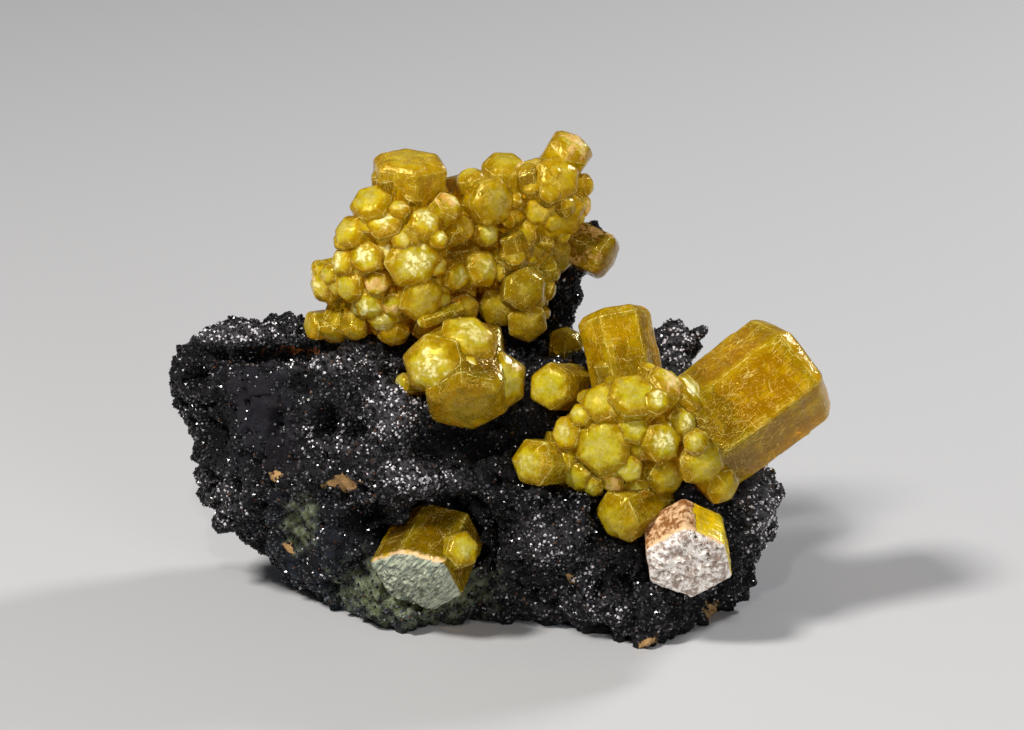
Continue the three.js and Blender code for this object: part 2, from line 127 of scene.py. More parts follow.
class Graph:
    def __init__(self, tree):
        self.tree = tree

    def add(self, kind, settings=None, inputs=None):
        # inputs: socket name or number to value or wire; returns a picker of the node's outputs
        node = self.tree.nodes.new(kind)
        for name, value in (settings or {}).items():
            setattr(node, name, value)
        for key, value in (inputs or {}).items():
            target = node.inputs[key]
            if isinstance(value, Wire):
                self.tree.links.new(value.socket, target)
            else:
                target.default_value = value
        return lambda key=0: Wire(self, node.outputs[key])

    def math(self, operation, *values):
        return self.add("ShaderNodeMath", {"operation": operation}, dict(enumerate(values)))()

    def vector(self, operation, *values, scale=None):
        inputs = dict(enumerate(values))
        if scale is not None:
            inputs["Scale"] = scale
        made = self.add("ShaderNodeVectorMath", {"operation": operation}, inputs)
        return made("Value" if operation == "DOT_PRODUCT" else "Vector")

    def mix(self, share, one, two):
        # a colour is a wire or three numbers
        full = lambda colour: colour if isinstance(colour, Wire) else (*colour, 1.0)
        return self.add("ShaderNodeMix", {"data_type": "RGBA", "clamp_factor": True},
                        {0: share, 6: full(one), 7: full(two)})(2)

    def noise(self, where, scale, detail=2.0, rough=0.5, out=0):
        return self.add("ShaderNodeTexNoise", None,
                        {"Vector": where, "Scale": scale, "Detail": detail, "Roughness": rough})(out)

    def attribute(self, name, out="Fac"):
        return self.add("ShaderNodeAttribute", {"attribute_name": name})(out)

    def surface(self, inputs):
        shader = self.add("ShaderNodeBsdfPrincipled", None, inputs)()
        self.add("ShaderNodeOutputMaterial", None, {"Surface": shader})

    def cells(self, where, scale, feature="F1"):
        return self.add("ShaderNodeTexVoronoi", {"feature": feature}, {"Vector": where, "Scale": scale})()


def newMaterial(name):
    material = bpy.data.materials.new(name)
    material.use_nodes = True
    material.node_tree.nodes.clear()
    return material, Graph(material.node_tree)


def addObject(name, data):
    obj = bpy.data.objects.new(name, data)
    bpy.context.scene.collection.objects.link(obj)
    return obj


def evaluated(obj):
    # the object's modifiers made real
    depsgraph = bpy.context.evaluated_depsgraph_get()
    mesh = bpy.data.meshes.new_from_object(obj.evaluated_get(depsgraph), preserve_all_data_layers=True,
                                           depsgraph=depsgraph)
    obj.modifiers.clear()
    old = obj.data
    obj.data = mesh
    bpy.data.meshes.remove(old)
    return obj


def keepLargest(obj):
    # joins points that are the same, and leaves out specks that were cut off inside
    shape = bmesh.new()
    shape.from_mesh(obj.data)
    bmesh.ops.remove_doubles(shape, verts=shape.verts, dist=0.001 * mm)
    waiting, bodies = set(shape.verts), []
    while waiting:
        front = [waiting.pop()]
        body = []
        while front:
            vertex = front.pop()
            body.append(vertex)
            for edge in vertex.link_edges:
                other = edge.other_vert(vertex)
                if other in waiting:
                    waiting.discard(other)
                    front.append(other)
        bodies.append(body)
    bodies.sort(key=len)
    bmesh.ops.delete(shape, geom=[vertex for body in bodies[:-1] for vertex in body], context="VERTS")
    shape.to_mesh(obj.data)
    shape.free()
    print(obj.name, "specks left out:", len(bodies) - 1)


def pointsOf(mesh, kind="co"):
    flat = np.zeros(len(mesh.vertices) * 3, np.float32)
    mesh.vertices.foreach_get(kind, flat)
    return flat.reshape(-1, 3)


def surfaceTree(mesh):
    return BVHTree.FromPolygons([v.co for v in mesh.vertices], [f.vertices for f in mesh.polygons])


def triangleCount(obj):
    obj.data.calc_loop_triangles()
    return len(obj.data.loop_triangles)


# crystals
# mounds that crystals radiate from or fill: middle (across, up, depth), half sizes, depth of the roots
crownMound = {"middle": (-13, 48.6, 2), "half": (11.5, 13, 9), "root": 7}
rosetteMound = {"middle": (15.5, 26, -8), "half": (12, 12, 10), "root": 6}
crestMound = {"middle": (4.6, 55.2, 5), "half": (7.2, 7.2, 6)}
columnMound = {"middle": (2.4, 46, 3), "half": (6.2, 8, 7)}
heartMound = {"middle": (-4.6, 33.6, -8), "half": (7, 7, 6.5)}

# each row: across, up, radius, how far it stands proud, tone
crownRows = [
    (-16.8, 56.4, 2.7), (-14.9, 53.9, 2.7, 0, "pale"), (-19.8, 52.4, 2.3), (-9.3, 53.6, 2.3, 0, "pale"),
    (-7.8, 51.3, 1.4, 0.4, "pale"), (-6.4, 55.7, 2.0, 0.6, "pink"), (-10.9, 48.4, 3.3, 0.4, "pale"),
    (-10.0, 43.7, 2.9, 1.2), (-17.3, 48.9, 2.2, 0, "pale"), (-20.6, 48.3, 1.9, 0, "pale"), (-19.9, 45.0, 2.2),
    (-15.9, 45.4, 1.6, 0, "pink"), (-17.0, 42.4, 2.4, 0, "pale"), (-15.1, 40.4, 2.0, 0, "pale"),
    (-5.1, 46.3, 2.1), (-4.0, 53.0, 1.8, 0, "amber"), (-12.4, 51.4, 1.6), (-12.9, 55.4, 1.6),
    (-7.9, 47.9, 1.5), (-7.0, 43.2, 1.5), (-13.6, 42.4, 1.7, 0, "pink"), (-22.2, 46.6, 1.6),
]
# each row: across, up, depth, radius, lean (right, up, towards), length, spin in degrees or None, tone
crownPlaced = [
    (-11.4, 61.6, 0, 5.3, (0.05, 0.93, 0.37), 9, 12, "amber"),
    (-23.6, 45.3, -1, 2.5, (-0.8, -0.1, 0.6), 9, None, "pink"),
    (-24.4, 40.2, 0, 2.1, (-0.88, -0.1, 0.45), 9, None, "amber"),
    (-1.5, 47.6, -3, 2.5, (0.62, 0.1, 0.75), 8),
    (-10.6, 40.6, -6.6, 1.1, (-0.9, -0.3, 0.3), 6, None, "pale"),
    (-18.6, 38.6, -3, 1.7, (-0.1, -0.9, 0.4), 8, None, "amber"),
    (-21.6, 38.6, -1, 2.0, (-0.3, -0.85, 0.4), 8, None, "amber"),
    (-13.6, 38.0, -4, 2.2, (0.0, -0.85, 0.5), 8, None, "amber"),
    (-9.0, 39.4, -4, 2.0, (0.2, -0.8, 0.6), 8, None, "dark"),
    (-13.0, 48.0, -2, 8.5, (0.05, 0.1, 0.99), 12, 10, "amber"),
]
crestPlaced = [
    (-4.2, 60.0, 2, 2.1, (-0.2, 0.9, 0.3), 8),
    (-0.2, 55.8, -1, 3.6, (0.6, -0.1, 0.78), 9, 8, "amber"),
    (0.4, 61.3, 4, 2.9, (0.05, 0.8, 0.55), 9, None, "amber"),
    (3.9, 60.6, 4, 2.5, (-0.1, 0.75, 0.6), 9, None, "amber"),
    (9.4, 63.6, 6, 3.4, (0.45, 0.68, 0.55), 11, 20, "pink"),
    (7.4, 59.2, 2, 3.5, (0.3, 0.25, 0.9), 9, None, "amber"),
    (6.8, 53.8, 2, 4.2, (0.15, -0.42, 0.88), 9, 5, "amber"),
    (11.4, 58.0, 6, 1.5, (0.85, 0.1, 0.4), 6, None, "amber"),
    (10.9, 55.4, 5, 1.7, (0.8, 0, 0.5), 6, None, "pink"),
    (13.8, 48.4, 6, 3.5, (0.85, -0.42, 0.32), 11, 25, "brown dark"),
    (3.3, 45.0, -4, 3.1, (0.3, 0.1, 0.93), 12, 10, "dark"),
    (-1.5, 51.8, -1, 1.8, (0.4, 0, 0.9), 7),
    (1.8, 49.6, 0, 1.9, (0.3, 0.1, 0.9), 7, None, "dark"),
    (0.9, 45.3, -1, 1.8, (0.2, 0, 0.95), 7, None, "dark"),
    (4.2, 50.0, 2, 2.2, (0.3, 0, 0.9), 8, None, "dark"),
    (7.6, 48.6, 5, 2.8, (0.4, -0.4, 0.8), 9, None, "dark"),
    (-0.4, 42.4, -3, 2.6, (0.1, -0.1, 0.95), 11, None, "dark"),
    (3.2, 40.2, -4, 3.0, (0.1, -0.35, 0.9), 12, 5, "dark"),
    (2.0, 47.5, 2, 6.2, (0.1, 0.1, 0.99), 11, 0, "dark"),
    (5.5, 55.5, 5, 5.2, (0.1, 0.2, 0.97), 9, 20, "amber"),
    (-4.6, 42.2, -4, 2.0, (0.1, -0.3, 0.9), 8, None, "dark"),
]
heartPlaced = [
    (-9.4, 35.3, -15, 4.5, (-0.35, -0.08, 0.93), 10, 22, "pale"),
    (-3.8, 39.8, -11.5, 4.4, (0.2, 0.62, 0.76), 10, 10),
    (0.8, 33.2, -13.5, 4.1, (0.45, -0.05, 0.89), 10, 0),
    (-4.3, 29.6, -15, 6.3, (0.02, -0.75, 0.66), 11, 4, "dark"),
    (-5.6, 31.0, -15, 1.5, (-0.1, -0.4, 0.9), 6),
    (-4.0, 35.6, -14.4, 1.1, (0, 0.1, 1), 5, None, "pale"),
    (-13.0, 33.0, -9, 1.5, (-0.8, 0, 0.6), 6),
]
bridgePlaced = [(5.6, 32.7, -12.5, 3.4, (-0.42, 0.02, 0.9), 9.5, 15)]
rosetteRows = [
    (7.6, 27.0, 2.3), (7.0, 23.3, 1.7), (12.4, 25.2, 3.9, 0.4), (11.9, 31.3, 2.7), (16.3, 31.8, 3.3, 0.6),
    (19.1, 30.7, 1.8, 1.2, "pale"), (21.1, 34.0, 2.7, 0, "pink"), (24.3, 32.6, 2.9, 0, "pale"),
    (20.0, 25.9, 2.6, 1.2, "pale"), (23.1, 28.1, 2.3, 0.6, "pale"), (21.1, 21.1, 2.8, 0.4, "amber"),
    (8.9, 21.0, 2.2), (10.9, 19.9, 1.7), (13.6, 20.2, 1.8, 0, "pink"), (15.9, 22.4, 1.8, 0.6),
    (16.9, 18.9, 2.0, 0, "pale"), (16.6, 27.6, 2.2), (9.4, 29.4, 1.6),
]
rosettePlaced = [
    (2.8, 23.1, -17, 3.4, (-0.6, -0.02, 0.8), 9, 10),
    (13.4, 15.7, -18, 3.9, (-0.66, -0.35, 0.66), 12, 10, "amber"),
    (19.6, 16.6, -14, 3.2, (-0.1, -0.4, 0.9), 8, 0),
    (25.8, 22.6, -18.4, 3.6, (0.35, -0.3, 0.88), 8, 20, "amber"),
    (28.4, 19.6, -17, 2.4, (0.5, -0.4, 0.76), 7, None, "amber"),
    (24.2, 25.8, -18.8, 1.8, (-0.1, 0.1, 0.98), 6),
]
bigPlaced = [
    (37.6, 36.3, -2.5, 8.5, (0.8, 0.6, -0.21), 20, 8, "amber"),
    (13.8, 42.6, -5, 5.0, (-0.2, 0.96, -0.16), 13, 28, "amber"),
    (29.6, 20.4, -5, 2.6, (0.5, -0.6, 0.6), 9),
]
stubPlaced = [(23.4, 9.4, -20.5, 6.6, (0.02, -0.66, 0.75), 7, 0, "broken leftCrust")]
pocketPlaced = [
    (-11.4, 7.4, -16, 6.4, (-0.36, -0.72, 0.6), 10, 30, "broken dark"),
    (-4.6, 12.5, -18, 2.4, (0.35, 0.15, 0.92), 7, 0),
]
rearPlaced = [(8.1, 39.4, 3, 2.3, (0.05, 0.72, 0.68), 8, 0, "dark")]

crystalForm = {
    "bevelDrop": 0.16,      # of the radius, as the solids have it
    "endShare": 0.84,
    "rootShare": 0.92,
    "fuller": 1.14,         # crystals that radiate from a mound grow into each other
    "worn": 0.50,           # mm, how far the edges are worn back
    "uneven": 0.09,         # how far one corner may fall short of the others
    "ledge": 0.022,         # depth of the growth ledges, of the radius
    "dome": 0.36,           # how much further the ends of small crystals drop, of the radius
    "domedBelow": 4.6,      # mm, crystals thinner than this are domed
    "facet": 1.0,           # mm, spacing of the mesh
    "wave": 0.18,           # mm, unevenness of the faces
    "waves": ((0.45, 0.6), (1.3, 0.35), (3.1, 0.2)),        # how often per mm, and how high
    "broken": 1.0,          # mm, unevenness of a broken end
    "brokenWaves": ((0.5, 0.9), (1.1, 0.8), (2.7, 0.45)),
    "brokenUneven": 2.2,    # times the unevenness of the corners
    "brokenFacet": 0.42,    # times the spacing of the mesh
}
# the hidden side of the crown; the half sizes are along the frame's axes
crownBackForm = {
    "middle": (-7, 51.6, 9), "half": (13, 5.5, 8), "count": 10, "start": 0.97, "span": 0.85,
    "radius": 2, "radiusSpread": 1.6, "length": 9,
}
# small crystals between the large ones, mm
fillerForm = {
    "radius": 1.3, "radiusSpread": 0.9, "length": 5, "proud": 0.3,
    "deepest": 5,           # below the point that it stands for, or it is left out
    "rayFrom": 60,
    "reach": 0.94, "reachSpread": 0.1,
}
goldenTurn = math.pi * (3 - math.sqrt(5))
toneWords = {  # crust, depth of colour which for the dark tone is painted shade on crystals in shadow, colour of the end's crust, paleness of the middle which sets how strong its painted highlight is
    "brown": (0.3, 0.1, 0.0, 0.0), "pink": (0.1, 0.0, 0.45, 0.2), "amber": (0.0, 0.45, 0.0, -0.1),
    "dark": (0.0, 0.85, 0.0, -0.3), "pale": (0.0, 0.0, 0.0, 0.65), "broken": (0.0, 0.0, 1.0, 0.0),
    "leftCrust": (0.0, 0.0, 0.0, 0.0),
}


def crystal(tip, axis, radius, length, spin, words, n):
    words = words.split()
    tone = [sum(toneWords[word][k] for word in words) for k in range(4)]
    tone[3] = min(max(tone[3] + 0.25 + 0.4 * vary(n, 4), 0), 1)
    spin = vary(n) * math.pi / 3 if spin is None else math.radians(spin)
    return {"tip": tip, "axis": axis, "radius": radius, "length": length, "tone": tone, "words": words, "n": n,
            "spin": spin, "squeeze": 0.9 + 0.2 * vary(n, 1)}


def radiating(mound, rows, salt):
    middle, half, made = mound["middle"], mound["half"], []
    for n, row in enumerate(rows):
        across, up, radius = row[:3]
        proud = row[3] if len(row) > 3 else 0
        words = row[4] if len(row) > 4 else ""
        right, rise = (across - middle[0]) / half[0], (up - middle[1]) / half[1]
        towards = math.sqrt(1 - min(math.hypot(right, rise), 0.97) ** 2)
        axis = pointing(right, rise, towards)
        tip = seen(across, up, middle[2] - half[2] * towards) + axis * proud
        length = mound["root"] + radius
        made.append(crystal(tip, axis, radius * crystalForm["fuller"], length, None, words, n + salt))
    return made


def placed(rows, salt):
    fuller = lambda radius: radius * (crystalForm["fuller"] if radius < 3 else 1)
    return [crystal(seen(*row[:3]), pointing(*row[4]), fuller(row[3]), row[5], row[6] if len(row) > 6 else None,
                    row[7] if len(row) > 7 else "", n + salt) for n, row in enumerate(rows)]


def crownBack(salt):
    # a spiral of crystals round the hidden side of the crown
    form, made = crownBackForm, []
    middle = seen(*form["middle"])
    for n in range(form["count"]):
        away = form["start"] - form["span"] * n / form["count"]
        ring = math.sqrt(1 - away * away)
        axis = pointing(ring * math.cos(goldenTurn * n), ring * math.sin(goldenTurn * n), -away)
        tip = middle + Vector([part * half for part, half in zip(axis, form["half"])])
        radius = form["radius"] + form["radiusSpread"] * vary(n, 5)
        made.append(crystal(tip, axis, radius, form["length"], None, "", n + salt))
    return made


def between(node, mound, count, share, salt):
    # small crystals that fill the gaps between the others, on a spiral all round a mound
    form, made = fillerForm, []
    tree = surfaceTree(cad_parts[node].data)
    (across, up, depth), half = mound["middle"], mound["half"]
    middle = seen(across, up, depth)
    for n in range(count):
        rise = 1 - 2 * (n + 0.5) / count
        ring = math.sqrt(1 - rise * rise)
        right, towards = ring * math.cos(goldenTurn * n), ring * math.sin(goldenTurn * n)
        axis = pointing(right, rise, towards)
        reach = share * (form["reach"] + form["reachSpread"] * vary(n, 41))
        tip = seen(across + half[0] * right * reach, up + half[1] * rise * reach,
                   depth - half[2] * towards * reach)
        # the tip keeps to the solid's surface
        outward = (tip - middle).normalized()
        start = (middle + outward * form["rayFrom"] + shift) * mm
        surface = tree.ray_cast(start, -outward, form["rayFrom"] * mm)[0]
        if surface is None:
            continue
        far, reached = (tip - middle).length, (surface / mm - shift - middle).length
        if reached < far - form["deepest"]:
            continue
        tip = middle + outward * min(far, reached + form["proud"])
        words = "dark" if vary(n, 42) < 0.5 else "pale" if vary(n, 42) > 0.85 else "amber"
        radius = form["radius"] + form["radiusSpread"] * vary(n, 43)
        made.append(crystal(tip, axis, radius, form["length"], None, words, n + salt))
    return made


def bend(before, corner, after, cut, steps):
    # a worn corner: points on the curve that runs from one side of it to the other
    start, end = corner + (before - corner) * cut[0], corner + (after - corner) * cut[1]
    return [(1 - t) ** 2 * start + 2 * t * (1 - t) * corner + t * t * end for t in np.linspace(0, 1, steps)]


def section(c, facet):
    # the hexagon of radius 1 with its corners worn round
    form, corners = crystalForm, []
    more = form["brokenUneven"] if "broken" in c["words"] else 1
    for k in range(6):
        angle = k * math.pi / 3
        reach = 1 - form["uneven"] * vary(c["n"] * 7 + k, 2) * more
        corners.append(np.array((math.sin(angle) * reach, math.cos(angle) * reach)))
    share = min(max(form["worn"] / c["radius"], 0.05), 0.27)
    sides = max(1, round(c["radius"] * (1 - 2 * share) / facet))
    points = []
    for k in range(6):
        here, after = corners[k], corners[(k + 1) % 6]
        points += bend(corners[k - 1], here, after, (share, share), 4)[:3]
        first, last = here + share * (after - here), after + share * (here - after)
        points += [first + (last - first) * s / sides for s in range(sides)]
    return np.array(points)


def endForm(c):
    # how far the bevel drops and runs in, and how far the flat end falls away
    form, some = crystalForm, vary(c["n"], 12)
    domed = 0.3 + 0.7 * some if c["radius"] < form["domedBelow"] else 0.1 + 0.3 * some
    return form["bevelDrop"] + form["dome"] * domed, 1 - form["endShare"] + 0.26 * domed, 0.02 + 0.11 * domed


def rings(c, facet):
    # (share of the section, height in radii) from the root to the end
    form, n, deep = crystalForm, c["n"], c["length"] / c["radius"]
    drop, inward, fall = endForm(c)
    side = lambda h: form["rootShare"] + (1 - form["rootShare"]) * (h + deep) / (deep - drop)
    ledges = []
    for k in range(3):
        down = 0.12 + 0.25 * k + 0.12 * vary(n, 20 + k)
        ledges.append((-drop - (deep - drop) * down, form["ledge"] * vary(n, 25 + k)))
    heights = list(np.linspace(-deep, -drop - 0.1, max(3, round(c["length"] / (1.5 * facet)))))
    heights += [h + d for h, _ in ledges for d in (-0.025, 0.025)]
    made = []
    for h in sorted(heights):
        cut = sum(depth for height, depth in ledges if height > h)
        made.append(np.array((side(h) - sum(d for _, d in ledges) + cut, h)))
    top = made[-1][0]
    bevel, flat = np.array((top, -drop)), np.array((1 - inward, -fall))
    soft = min(max((drop - form["bevelDrop"]) / form["dome"], 0), 1)
    made += bend(made[-1], bevel, flat, (0.6, 0.2 + 0.25 * soft), 4)
    made += bend(bevel, flat, np.array((0.0, 0.0)), (0.3 + 0.35 * soft, 0.2 + 0.45 * soft), 6)
    inner = made[-1]
    steps = max(2, round(c["radius"] * inner[0] / facet))
    made += [inner * (1 - s / steps) + np.array((0.05, 0.0)) * s / steps for s in range(1, steps + 1)]
    return made


def crystalMesh(c, shift):
    form = crystalForm
    turn = Vector((0, 1, 0)).rotation_difference(c["axis"]).to_matrix()
    spin = np.array(((math.cos(c["spin"]), math.sin(c["spin"])), (-math.sin(c["spin"]), math.cos(c["spin"]))))
    broken = "broken" in c["words"]
    facet = form["facet"] * (form["brokenFacet"] if broken else 1)
    flat = section(c, facet)
    drop, inward, fall = endForm(c)
    count, points, places, crust = len(flat), [], [], []
    for share, height in rings(c, facet):
        onEnd = min(max((height + drop) / max(drop - fall, 0.01), 0), 1)
        for p in flat * share:
            x, z = spin @ p
            out = Vector((x, 0, z * c["squeeze"]))
            local = Vector((x, height, z * c["squeeze"])) * c["radius"]
            where = turn @ local + c["tip"]
            wave = sum(noise.noise(where * often) * high for often, high in form["waves"])
            if out.length > 0:
                local += out.normalized() * (wave - 0.3) * form["wave"] * (1 - onEnd)
            fallen = (wave - 0.3) * form["wave"] * (0.4 + 0.6 * min(share * 1.5, 1)) * onEnd
            if broken:
                rough = sum(abs(noise.noise(where * often)) * high for often, high in form["brokenWaves"])
                fallen -= rough * form["broken"] * onEnd
            local.y += fallen
            points.append(tuple((turn @ local + c["tip"] + shift) * mm))
            places.append((p[0], p[1], height))
            left = (turn @ out.normalized()).x if out.length > 0 else 0
            crust.append(min(max((0.25 - left) / 0.3, 0), 1) if "leftCrust" in c["words"] else c["tone"][0])
    layers = len(points) // count
    faces = []
    for low in range(0, (layers - 1) * count, count):
        high = low + count
        faces += [[low + i, low + (i + 1) % count, high + (i + 1) % count, high + i] for i in range(count)]
    faces.append(list(range(count))[::-1])
    faces.append([(layers - 1) * count + i for i in range(count)])
    mesh = bpy.data.meshes.new(f"prism{c['n']}")
    mesh.from_pydata(points, [], faces)
    corners = np.zeros(len(mesh.loops), np.int32)
    mesh.loops.foreach_get("vertex_index", corners)
    same = lambda values: np.tile(values, (len(corners), 1))
    tone = same((0.0, c["tone"][1], c["tone"][2]))
    tone[:, 0] = np.array(crust)[corners]
    facts = {
        "grown": np.array(places)[corners],
        "tone": tone,
        "trait": same((vary(c["n"], 3), c["radius"], c["tone"][3])),
        "ending": same((drop, inward, fall)),
    }
    for name, values in facts.items():
        attribute = mesh.attributes.new(name, "FLOAT_VECTOR", "CORNER")
        attribute.data.foreach_set("vector", values.astype(np.float32).ravel())
    return mesh


def plainBox(c):
    # the box of the plain six-sided solid
    turn = Vector((0, 1, 0)).rotation_difference(c["axis"]).to_matrix()
    form, points = crystalForm, []
    deep = c["length"] / c["radius"]
    for share, height in ((form["rootShare"], -deep), (1, -form["bevelDrop"]), (form["endShare"], 0)):
        for k in range(6):
            angle = k * math.pi / 3 + c["spin"]
            local = Vector((math.sin(angle) * share, height, math.cos(angle) * share * c["squeeze"]))
            points.append(turn @ (local * c["radius"]) + c["tip"])
    return [Vector([pick(p[k] for p in points) for k in range(3)]) for pick in (min, max)]


# the solids stand with their origin under their middle: the small rear crystal gives the shift
rear = placed(rearPlaced, 220)[0]
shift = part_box("rear_crystal")[0] / mm - plainBox(dict(rear, radius=rearPlaced[0][3]))[0]
print("shift of the specimen in mm:", [round(x, 3) for x in shift])

clusters = {
    "crown_cluster": radiating(crownMound, crownRows, 0) + placed(crownPlaced, 40) + placed(crestPlaced, 60)
    + crownBack(300) + between("crown_cluster", crownMound, 90, 0.94, 400)
    + between("crown_cluster", crestMound, 34, 0.84, 500)
    + between("crown_cluster", columnMound, 34, 0.86, 540),
    "heart_cluster": placed(heartPlaced, 100) + between("heart_cluster", heartMound, 26, 0.86, 580),
    "bridge_crystal": placed(bridgePlaced, 120),
    "rosette_cluster": radiating(rosetteMound, rosetteRows, 140) + placed(rosettePlaced, 170)
    + placed(bigPlaced, 180) + between("rosette_cluster", rosetteMound, 60, 0.93, 620),
    "stub_crystal": placed(stubPlaced, 200),
    "pocket_crystals": placed(pocketPlaced, 210),
    "rear_crystal": placed(rearPlaced, 220),
}


def join(one, other):
    modifier = one.modifiers.new("join", "BOOLEAN")
    modifier.operation = "UNION"
    modifier.solver = "MANIFOLD"
    modifier.object = other
    evaluated(one)
    mesh = other.data
    bpy.data.objects.remove(other)
    bpy.data.meshes.remove(mesh)
    return one


def unionOf(name, crystals):
    # joined in pairs, then the pairs in pairs, which is much faster than one after another
    objects = [addObject(f"{name}_{c['n']}", crystalMesh(c, shift)) for c in crystals]
    while len(objects) > 1:
        left = [objects[-1]] if len(objects) % 2 else []
        objects = [join(objects[k], objects[k + 1]) for k in range(0, len(objects) - 1, 2)] + left
    objects[0].name = objects[0].data.name = name
    return objects[0]


crystalLook = {
    "transmission": 0.80, "ior": 1.47, "gloss": 0.18,
    "cloudy": 0.14,             # how much of the body isn't see-through
    "absorb": (0.97, 0.88, 0.01), "density": 380.0,
    "yellow": (0.87, 0.58, 0.001), "amber": (0.55, 0.315, 0.001), "deep": (0.17, 0.075, 0.001),
    "lemon": (1.0, 0.84, 0.020), "frostAndHighlight": (1.0, 0.94, 0.36), "middleHighlight": (1.0, 0.96, 0.52),
    "crust": (0.30, 0.15, 0.035), "crustTwo": (0.55, 0.36, 0.15), "cap": (0.72, 0.44, 0.20),
    "capTwo": (0.50, 0.21, 0.07), "capSpots": (0.30, 0.11, 0.04), "sheen": (1.0, 0.80, 0.22),
    "sideRoughness": 0.07, "endRoughness": 0.10, "roughCrust": False,
    "fibre": (1.0, 1.0, 1.0),   # how closely the end's crust is streaked
    "lip": 0.02,                # mm, width of the crust's edge
    "lipColour": (0.80, 0.52, 0.28),
}
stubLook = dict(
    crystalLook, crust=(0.24, 0.095, 0.03), crustTwo=(0.70, 0.46, 0.26), cap=(0.98, 0.92, 0.86),
    capTwo=(0.36, 0.27, 0.22), capSpots=(0.03, 0.026, 0.025), deep=(0.36, 0.22, 0.004),
    amber=(0.60, 0.39, 0.008), transmission=0.25, cloudy=0.4, fibre=(1.8, 1.8, 1.0), lip=0.5, roughCrust=True)
pocketLook = dict(
    crystalLook, cap=(0.50, 0.52, 0.38), capTwo=(0.15, 0.18, 0.15), capSpots=(0.03, 0.035, 0.04),
    fibre=(5.0, 0.8, 1.0), lip=0.8, roughCrust=True)


